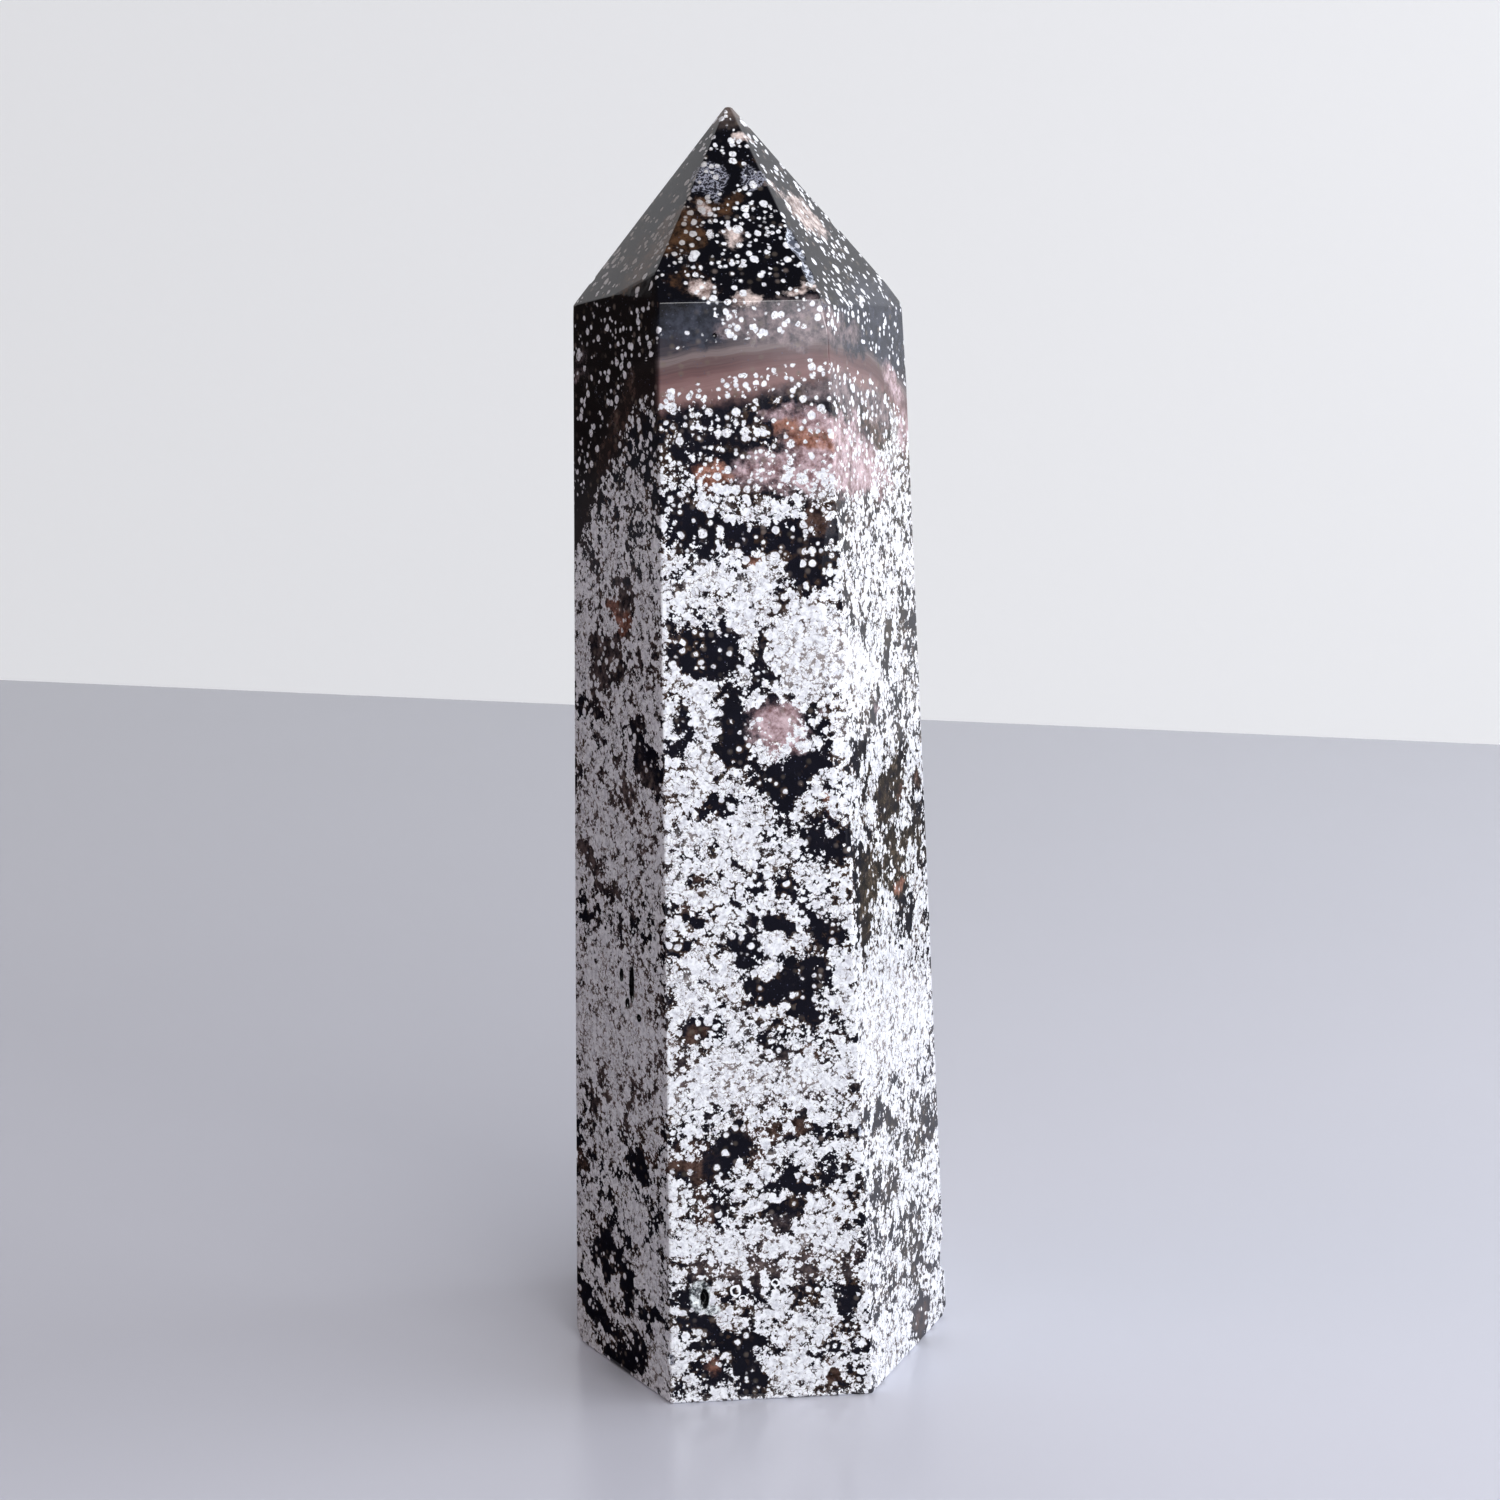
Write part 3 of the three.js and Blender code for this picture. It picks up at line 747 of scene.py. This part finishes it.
def flow_level(w, place):
    """Height above the arched layer of brown flow bands, in millimetres."""
    x, y, z = w.parts(place)
    sideways = w.math("POWER", w.math("SUBTRACT", x, ARCH_CROWN[0]), 2.0)
    backwards = w.math("POWER", w.math("SUBTRACT", y, ARCH_CROWN[1]), 2.0)
    bend = w.math("MULTIPLY", sideways, ARCH_FALL_SIDEWAYS)
    back = w.math("MULTIPLY", backwards, ARCH_FALL_BACKWARDS)
    past = w.math("MAXIMUM", w.math("SUBTRACT", ARCH_DROP_FROM, x), 0.0)
    drop = w.math("MULTIPLY", past, ARCH_DROP_SLOPE)
    arch = w.math("ADD", w.math("ADD", bend, back), drop)
    level = w.math("SUBTRACT", w.math("ADD", z, arch), ARCH_CROWN[2])
    return w.math("ADD", level, w.swing(place, ARCH_NOISE, ARCH_SWING))


def above_speckles(w, place, band_level):
    """Height above where the thick speckles stop. They reach highest near the front right edge."""
    offset = (-SPECKLE_PEAK[0], -SPECKLE_PEAK[1], 0.0)
    away = w.vector("LENGTH", w.vector("MULTIPLY_ADD", place, (1.0, 1.0, 0.0), offset))
    return w.math("SUBTRACT", band_level, w.ease(away, *SPECKLE_PEAK_REACH, *SPECKLE_TOPS))


def speckle_density(w, place, band_level, above):
    """How thickly white speckles lie: about 0.2 where they are sparse and over 1 where they merge.

    The second result says how much white there is all round, which also clouds the gaps.
    """
    z = w.parts(place)[2]
    large = w.swing(place, LARGE_NOISE, LARGE_SWING)
    small = w.swing(place, SMALL_NOISE, SMALL_SWING)
    cover = w.math("ADD", w.math("ADD", large, small), w.ease(z, *COVER_BY_HEIGHT, kind="LINEAR"))
    for name, amount in COVER_OF_PATCHES.items():
        cover = w.math("MULTIPLY_ADD", w.painted(name), amount, cover)
    thick = w.ease(z, *THICK_BY_HEIGHT, kind="LINEAR")
    thin = w.ease(z, *THIN_BY_HEIGHT, kind="LINEAR")
    patchy = w.math("MULTIPLY_ADD", small, 0.25, w.ease(cover, -0.3, 0.25, low=thin, high=thick))
    sparse = w.ease(large, -0.25, 0.25, low=0.26, high=0.54)
    total = w.ease(above, -0.4, 1.6, low=patchy, high=sparse)
    in_band = w.math("MULTIPLY", w.ease(above, -0.9, 0.5), w.ease(band_level, 1.2, -0.2))
    return w.math("MULTIPLY_ADD", in_band, -0.9, total), cover


def speckle_rim(w, place, density):
    """Distance outside the nearest speckle's rim, in millimetres."""
    rim = None
    for apart, widest, growth, counts, more in SPECKLES:
        away, chance = w.cells(place, apart)
        lively = w.math("SUBTRACT", w.math("MULTIPLY_ADD", density, counts, more), chance[0])
        full = w.math("MULTIPLY", w.ease(chance[1], 0.0, 1.0, low=0.62, kind="LINEAR"), widest * apart)
        grown = w.ease(lively, 0.3, 1.1, high=growth * apart, kind="LINEAR")
        radius = w.math("ADD", w.ease(lively, 0.0, 0.15, low=-0.3, high=full), grown)
        outside = w.math("SUBTRACT", away, radius)
        rim = outside if rim is None else w.math("MINIMUM", rim, outside)
    return rim


def ground_colour(w, place, band_level, above, rim):
    """The stone between the speckles, with the flow bands and the coloured patches."""
    ground = black_and_tan(w, place, rim)
    ground = add_flow_bands(w, place, band_level, above, ground)
    ragged = w.swing(place, RAGGED_NOISE, RAGGED_SWING)
    ground = add_patches(w, place, ragged, ground)
    ground = add_druse(w, place, ragged, ground)
    return add_cap(w, place, ground)


def black_and_tan(w, place, rim):
    """Near-black stone that in places turns brown where it thins out at the speckles' rims."""
    black = w.mix(w.noise(place, *BLACK_NOISE), *BLACKS)
    tan = w.mix(w.noise(place, *TAN_NOISE), *TANS)
    brownish = w.ease(w.noise(place, *TAN_PLACES_NOISE), 0.42, 0.62, low=0.12)
    return w.mix(w.math("MULTIPLY", w.ease(rim, 0.32, 0.0), brownish), black, tan)


def add_flow_bands(w, place, band_level, above, ground):
    """The flow bands, in the shade on the left and with a torn lower end."""
    flow = flow_colour(w, place, band_level)
    shaded = w.ease(w.parts(place)[0], *FLOW_SHADED_FROM, high=0.94)
    flow = w.mix(shaded, flow, SHADED_FLOW)
    torn = w.math("MULTIPLY_ADD", w.noise(place, *TORN_NOISE), TORN_REACH, above)
    return w.mix(w.ease(torn, -1.9, -0.3), ground, flow)


def flow_colour(w, place, band_level):
    """Mauve and brown layers that follow the arch, under the black stone of the tip."""
    layer = w.node("ShaderNodeCombineXYZ")
    w.put(band_level, layer.inputs["Z"])
    streaks = w.vector("ADD", layer.outputs[0], w.scaled(place, STREAK_DRIFT))
    level = w.math("ADD", band_level, w.swing(streaks, STREAK_NOISE, STREAK_SWING))
    made = w.node("ShaderNodeValToRGB")
    stops = made.color_ramp.elements
    while len(stops) < len(FLOW_LAYERS):
        stops.new(1.0)
    for stop, (height, colour) in zip(stops, FLOW_LAYERS):
        stop.position = (height - FLOW_LOW) / (FLOW_HIGH - FLOW_LOW)
        stop.color = (*colour, 1.0)
    w.put(w.ease(level, FLOW_LOW, FLOW_HIGH, kind="LINEAR"), made.inputs["Fac"])
    return made.outputs["Color"]


def add_patches(w, place, ragged, ground):
    for name, start, end, dull, bright in GROUND_PATCHES:
        share = w.ease(w.math("ADD", w.painted(name), ragged), start, end)
        share = w.math("MULTIPLY", share, w.ease(w.painted(name), 0.0, 0.25))
        mottle = w.ease(w.noise(place, *MOTTLE_NOISE), 0.3, 0.7)
        ground = w.mix(share, ground, w.mix(mottle, dull, bright))
    return ground


def add_druse(w, place, ragged, ground):
    """Patches of tiny grey crystals, as a fine lace."""
    druse = w.mix(w.ease(w.veins(place, DRUSE_NOISE), 0.09, 0.0), *DRUSES)
    return w.mix(w.ease(w.math("ADD", w.painted("druse"), ragged), 0.3, 0.7), ground, druse)


def add_cap(w, place, ground):
    """The worn brown stone at the very tip."""
    height = w.math("MULTIPLY_ADD", w.noise(place, *CAP_EDGE_NOISE), CAP_REACH, w.parts(place)[2])
    return w.mix(w.ease(height, *CAP_LEVELS), ground, w.mix(w.noise(place, *CAP_NOISE), *CAPS))


def add_cloud(w, cover, above, ground):
    """Clouds the gaps between thick speckles."""
    cloudy = w.math("MULTIPLY", w.ease(cover, 0.15, 1.0, high=0.85), w.ease(above, 0.0, -2.0))
    return w.mix(cloudy, ground, CLOUD)


def add_speckles(w, place, ground, rim, density):
    """White speckles, with fine dark grains where they merge, over fainter ones deeper in the stone."""
    deep, chance = w.cells(place, FAINT_SPECKLES_APART)
    faint = w.math("MULTIPLY", w.ease(deep, 0.38, 0.10), w.ease(chance[0], 0.58, 0.88, high=0.5))
    ground = w.mix(faint, ground, w.mix(chance[1], *FAINT_WHITES))
    tiny, chance = w.cells(place, DUST_APART)
    dusty = w.math("MULTIPLY", w.ease(tiny, 0.07, 0.04), w.ease(chance[0], 0.7, 0.9, high=0.7))
    ground = w.mix(dusty, ground, DUST)
    white = w.mix(w.ease(w.noise(place, *WHITE_NOISE), 0.25, 0.65), *WHITES)
    grainy = w.ease(w.noise(place, *GRAINY_PLACES_NOISE), 0.46, 0.56, high=0.75)
    grains = w.math("MULTIPLY", w.ease(w.veins(place, GRAIN_NOISE), 0.03, 0.012), grainy)
    white = w.mix(grains, white, GRAIN)
    # Painted shade: the whites on the tip's left face are dulled towards grey-brown
    white = w.mix(w.math("MULTIPLY", w.painted("dull"), 0.9), white, SHADED_TIP_WHITE)
    softness = w.ease(density, 0.5, 0.9, low=0.07, high=0.03)
    return w.mix(w.ease(rim, softness, -0.035), ground, white)


def add_breaks(w, place, colour):
    """Broken stone in the chips: grey, with pale ridges."""
    broken = w.painted("broken")
    colour = w.mix(w.math("MULTIPLY", broken, 0.55), colour, BROKEN_GREY)
    ridge = w.ease(w.veins(place, RIDGE_NOISE), 0.06, 0.0)
    return w.mix(w.math("MULTIPLY", broken, ridge), colour, BROKEN_RIDGE)


def nearest_mark(w, place, places, table):
    """How far out from the nearest of some small marks: 0 in its middle and 1 on its outline."""
    nearest = None
    for face, across, level, wide, high in table:
        middle = places.on(face, across, level)[0]
        turned = w.node("ShaderNodeVectorRotate", rotation_type="Z_AXIS")
        w.put(place, turned.inputs["Vector"])
        w.put(middle, turned.inputs["Center"])
        w.put(math.radians(-FACE_WAY[face]), turned.inputs["Angle"])
        offset = w.vector("SUBTRACT", turned.outputs[0], middle)
        away = w.vector("LENGTH", w.vector("MULTIPLY", offset, (1 / wide, 1 / MARK_DEPTH, 1 / high)))
        nearest = away if nearest is None else w.math("MINIMUM", nearest, away)
    return nearest


def add_small_marks(w, place, places, colour):
    """White rings, and the pits and the crevice, painted near-black inside as painted shade, one of
    them pale round its mouth.
    """
    outline = w.math("ABSOLUTE", w.math("SUBTRACT", nearest_mark(w, place, places, RINGS), 1.0))
    colour = w.mix(w.ease(outline, 0.32, 0.18), colour, WHITES[1])
    mouth = w.ease(nearest_mark(w, place, places, PALE_RIMS), 1.15, 0.8, high=0.85)
    ragged = w.ease(w.noise(place, *MOUTH_NOISE), 0.42, 0.56)
    colour = w.mix(mouth, colour, w.mix(ragged, *PIT_MOUTHS))
    # Painted shade: the pits and the crevice are painted near-black inside
    hole_shade = w.ease(nearest_mark(w, place, places, PAINTED_SHADE_HOLES), 1.15, 0.85)
    return w.mix(hole_shade, colour, PIT_PAINTED_SHADE)


def merged_faces(stone):
    """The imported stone's points, in millimetres, and its faces with flat neighbours merged."""
    bm = bmesh.new()
    bm.from_mesh(stone.data)
    bmesh.ops.scale(bm, vec=(1 / MM, 1 / MM, 1 / MM), verts=bm.verts)
    bmesh.ops.remove_doubles(bm, verts=bm.verts, dist=SAME_POINT)
    bmesh.ops.dissolve_limit(bm, angle_limit=math.radians(FLAT_ANGLE), verts=bm.verts, edges=bm.edges)
    bm.verts.index_update()
    bm.normal_update()
    points = [v.co.copy() for v in bm.verts]
    faces = [([v.index for v in f.verts], f.normal.copy(), f.calc_area()) for f in bm.faces]
    bm.free()
    return points, faces


def main_planes(points, faces):
    """The large ground faces, each once, as outward directions and distances."""
    normals = []
    distances = []
    for ring, normal, area in sorted(faces, key=lambda face: -face[2]):
        apart = all(normal.dot(other) < SAME_WAY for other in normals)
        if area > SMALLEST_GROUND_FACE and apart:
            normals.append(normal)
            distances.append(normal.dot(points[ring[0]]))
    return np.array(normals), np.array(distances)


def depths(points, planes):
    """How deep each point lies under each plane, one row to a point."""
    normals, distances = planes
    return np.maximum(distances - points @ normals.T, 0.0)


def stepped_rings(points, faces, steps):
    """Each face's ring with its edges cut into even steps, the same from both sides."""
    finest = {}
    for (ring, _, _), step in zip(faces, steps):
        for a, b in zip(ring, ring[1:] + ring[:1]):
            key = (min(a, b), max(a, b))
            finest[key] = min(step, finest.get(key, step))
    cuts = {}
    for key, step in finest.items():
        start, end = points[key[0]], points[key[1]]
        count = max(1, round((end - start).length / step))
        cuts[key] = list(range(len(points), len(points) + count - 1))
        points.extend(start.lerp(end, i / count) for i in range(1, count))
    rings = []
    for ring, _, _ in faces:
        whole = []
        for a, b in zip(ring, ring[1:] + ring[:1]):
            between = cuts[min(a, b), max(a, b)]
            whole += [a, *(between if a < b else between[::-1])]
        rings.append(whole)
    return rings


def lattice_inside(ring, step):
    """Points of an even triangular lattice inside a flat ring, clear of its rim."""
    low, high = ring.min(0), ring.max(0)
    rows = np.arange(low[1] + step / 2, high[1], step * math.sqrt(0.75))
    columns = np.arange(low[0], high[0], step)
    along = np.roll(ring, -1, axis=0) - ring
    rise = np.where(along[:, 1] == 0, 1.0, along[:, 1])
    inside = [np.zeros((0, 2))]
    for i, level in enumerate(rows):
        row = np.stack((columns + step / 2 * (i % 2), np.full(len(columns), level)), axis=1)
        away = row[:, None] - ring
        crossed = (away[..., 1] < 0) != (away[..., 1] < along[:, 1])
        passed = crossed & (away[..., 0] < away[..., 1] / rise * along[:, 0])
        share = np.clip((away * along).sum(-1) / (along * along).sum(-1), 0, 1)
        nearest = np.linalg.norm(away - share[..., None] * along, axis=-1).min(1)
        inside.append(row[(passed.sum(1) % 2 == 1) & (nearest > step * RIM_CLEARANCE)])
    return np.concatenate(inside)


def filled(points, ring, normal, step):
    """Triangles over one flat face, on its ring's points and on new ones that it adds inside."""
    middle = points[ring[0]]
    farthest = max((points[i] for i in ring), key=lambda point: (point - middle).length_squared)
    side = (farthest - middle).normalized()
    up = normal.cross(side).normalized()
    flat = np.array([((points[i] - middle).dot(side), (points[i] - middle).dot(up)) for i in ring])
    inner = lattice_inside(flat, step)
    names = [*ring, *range(len(points), len(points) + len(inner))]
    points.extend(middle + side * x + up * y for x, y in inner)
    count = len(ring)
    rim = [(i, (i + 1) % count) for i in range(count)]
    found = delaunay_2d_cdt([Vector(p) for p in (*flat, *inner)], rim, [], INSIDE_ONLY, SAME_FLAT_POINT)
    triangles, origins = found[2], found[3]
    return [[names[origins[i][0]] for i in triangle] for triangle in triangles]


def fine_mesh(stone):
    """The stone on an even mesh, finer in its chips and pits, and worn as a ground stone is."""
    points, faces = merged_faces(stone)
    planes = main_planes(points, faces)
    middles = np.array([np.mean([points[i] for i in ring], axis=0) for ring, _, _ in faces])
    chipped = depths(middles, planes).min(1) > CHIP_DEPTH
    steps = np.where(chipped, CHIP_STEP, MESH_STEP)
    rings = stepped_rings(points, faces, steps)
    triangles = []
    for ring, (_, normal, _), step in zip(rings, faces, steps):
        triangles += filled(points, ring, normal, step)
    points = np.array(points)
    mesh = bpy.data.meshes.new("jasper_stone")
    mesh.from_pydata(worn_points(points, planes) * MM, [], triangles)
    mesh.validate()
    mesh.shade_smooth()
    mesh.set_sharp_from_angle(angle=math.radians(SHARP_ANGLE))
    keep_faces_flat(mesh, points, planes)
    return mesh, planes


def worn_points(points, planes):
    """Polishing rounds each face down towards its edges, and leaves it very slightly wavy."""
    normals, _ = planes
    under = depths(points, planes)
    near = np.clip(1 - under / ROLL_REACH, 0, 1) ** 2
    on_face = np.clip(1 - under / ROLL_BLEND, 0, 1)
    others = near.sum(1, keepdims=True) - near
    standing = normals[:, 2] > BASE_WAY
    push = -ROLL_DEPTH * (on_face * np.minimum(others, 1.0) * standing) @ normals
    wave = np.array([noise.noise(Vector(p) / WAVE_LENGTH) for p in points])
    outward = on_face @ normals
    outward /= np.maximum(np.linalg.norm(outward, axis=1, keepdims=True), 1e-6)
    above_base = np.clip(points[:, 2:] / ROLL_REACH, 0, 1)
    return points + (push + outward * wave[:, None] * WAVE_HEIGHT) * above_base


def keep_faces_flat(mesh, points, planes):
    """Gives the rim of each ground face that face's own normal, not one shared with its round edge."""
    corners = mesh_values(mesh.loops, "vertex_index", kind=int)
    areas = mesh_values(mesh.polygons, "area")
    normals = mesh_values(mesh.polygons, "normal", 3)
    shading = mesh_values(mesh.corner_normals, "vector", 3)
    triangles = corners.reshape(-1, 3)
    flat = (depths(points, planes)[triangles] < ON_FACE).all(1).any(1)
    pull = (normals * areas[:, None])[flat]
    shared = np.zeros((len(points), 3))
    for i in range(3):
        np.add.at(shared, triangles[flat, i], pull)
    shared /= np.maximum(np.linalg.norm(shared, axis=1, keepdims=True), 1e-12)
    near = (shared[corners] * shading).sum(1) > math.cos(math.radians(NEARLY_FLAT))
    shading[near] = shared[corners[near]]
    mesh.normals_split_custom_set(shading.tolist())


def stone_piece(stone):
    """The stone itself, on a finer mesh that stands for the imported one."""
    mesh, planes = fine_mesh(stone)
    places = StonePlaces(stone)
    paint_masks(mesh, places, planes)
    piece = bpy.data.objects.new("jasper_stone", mesh)
    bpy.context.scene.collection.objects.link(piece)
    mesh.materials.append(stone_material(places))
    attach(piece, "root")
    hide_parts(NODE)


def plain_material(name, colour, roughness, mottle, glow=(0.0, 0.0, 0.0)):
    """One colour, very slightly mottled, that may glow a little."""
    material, w = empty_material(name)
    shader = w.node("ShaderNodeBsdfPrincipled")
    place = w.node("ShaderNodeTexCoord").outputs["Object"]
    light = tuple(min(1.0, c * (1 + mottle)) for c in colour)
    dull = tuple(c * (1 - mottle) for c in colour)
    w.put(w.mix(w.noise(place, MOTTLE_SIZE), dull, light), shader.inputs["Base Color"])
    shader.inputs["Roughness"].default_value = roughness
    shader.inputs["Emission Color"].default_value = (*glow, 1.0)
    shader.inputs["Emission Strength"].default_value = 1.0 if any(glow) else 0.0
    w.put(shader.outputs["BSDF"], w.node("ShaderNodeOutputMaterial").inputs["Surface"])
    return material


def table():
    bpy.ops.mesh.primitive_circle_add(vertices=96, radius=TABLE_RADIUS * MM, fill_type="NGON")
    top = bpy.context.object
    top.name = "table_top"
    top.data.materials.append(plain_material("pale_table", TABLE_COLOUR, TABLE_ROUGHNESS, TABLE_MOTTLE))


def wall():
    bpy.ops.mesh.primitive_plane_add(size=1.0)
    back = bpy.context.object
    back.name = "wall"
    back.scale = (WALL_SIZE[0] * MM, WALL_SIZE[1] * MM, 1.0)
    back.rotation_euler = (math.radians(90), 0, math.radians(WALL_TURN))
    back.location = (WALL_PLACE[0] * MM, WALL_PLACE[1] * MM, WALL_SIZE[1] / 2 * MM)
    paint_of_wall = plain_material("pale_wall", WALL_COLOUR, WALL_ROUGHNESS, WALL_MOTTLE, WALL_GLOW)
    back.data.materials.append(paint_of_wall)


def cards():
    for name, (low, high, dim, bright) in CARDS.items():
        wide, deep, tall = (b - a for a, b in zip(low, high))
        bpy.ops.mesh.primitive_plane_add(size=1.0)
        card = bpy.context.object
        card.name = name
        card.scale = (wide * MM, (tall or deep) * MM, 1.0)
        card.rotation_euler = (math.radians(-90 if tall else 0), 0, 0)
        card.location = (Vector(low) + Vector(high)) / 2 * MM
        card.data.materials.append(card_material(name, dim, bright))
        card.visible_camera = False
        card.visible_diffuse = False
        card.visible_shadow = False


def card_material(name, dim, bright):
    """Clear on its back, and on its front as bright as asked, changing softly from left to right."""
    material, w = empty_material(name)
    front = w.node("ShaderNodeEmission")
    place = w.node("ShaderNodeTexCoord").outputs["Object"]
    if dim == bright:
        front.inputs["Strength"].default_value = bright
    else:
        w.put(w.ease(w.parts(place)[0], *SHEEN_RISE, dim, bright), front.inputs["Strength"])
    w.put(w.mix(w.noise(place, CARD_MOTTLE_SIZE), *CARD_COLOURS), front.inputs["Color"])
    sides = w.node("ShaderNodeMixShader")
    w.put(w.node("ShaderNodeNewGeometry").outputs["Backfacing"], sides.inputs[0])
    w.put(front.outputs[0], sides.inputs[1])
    w.put(w.node("ShaderNodeBsdfTransparent").outputs[0], sides.inputs[2])
    w.put(sides.outputs[0], w.node("ShaderNodeOutputMaterial").inputs["Surface"])
    return material


def soft_light(name, azimuth, elevation, distance, size, power, colour):
    """A soft box aimed at the middle of the stone."""
    data = bpy.data.lights.new(name, "AREA")
    data.shape = "RECTANGLE"
    data.size, data.size_y = size[0] * MM, size[1] * MM
    data.energy = power
    data.color = colour
    lamp = bpy.data.objects.new(name, data)
    bpy.context.scene.collection.objects.link(lamp)
    rise = math.radians(elevation)
    towards = way(azimuth) * math.cos(rise) + Vector((0, 0, math.sin(rise)))
    lamp.location = Vector(LIT_POINT) * MM + towards * distance * MM
    lamp.rotation_euler = (-towards).to_track_quat("-Z", "Y").to_euler()


def studio():
    world = bpy.data.worlds.new("studio")
    world.use_nodes = True
    background = world.node_tree.nodes["Background"]
    background.inputs["Color"].default_value = (*WORLD_COLOUR, 1.0)
    background.inputs["Strength"].default_value = WORLD_STRENGTH
    bpy.context.scene.world = world
    for light in LIGHTS:
        soft_light(*light)


def camera():
    data = bpy.data.cameras.new("camera")
    data.lens = CAMERA_LENS
    data.sensor_width = CAMERA_SENSOR
    eye = bpy.data.objects.new("camera", data)
    bpy.context.scene.collection.objects.link(eye)
    turn = Matrix.Rotation(math.radians(-CAMERA_TURN), 4, "Z")
    pitch = Matrix.Rotation(math.radians(90 - CAMERA_PITCH), 4, "X")
    roll = Matrix.Rotation(math.radians(-CAMERA_ROLL), 4, "Z")
    eye.matrix_world = Matrix.Translation(Vector(CAMERA_PLACE) * MM) @ turn @ pitch @ roll
    bpy.context.scene.camera = eye


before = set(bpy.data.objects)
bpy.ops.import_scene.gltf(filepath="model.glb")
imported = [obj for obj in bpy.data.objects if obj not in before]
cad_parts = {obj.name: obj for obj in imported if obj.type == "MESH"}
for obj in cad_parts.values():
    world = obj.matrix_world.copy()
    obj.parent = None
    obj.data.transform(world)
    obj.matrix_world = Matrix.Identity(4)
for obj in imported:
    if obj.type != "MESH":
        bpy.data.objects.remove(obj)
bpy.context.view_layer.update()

bpy.context.scene.view_settings.view_transform = "Standard"
bpy.context.scene.view_settings.gamma = TONE_GAMMA
camera()
studio()
table()
wall()
cards()
stone_piece(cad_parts[NODE])
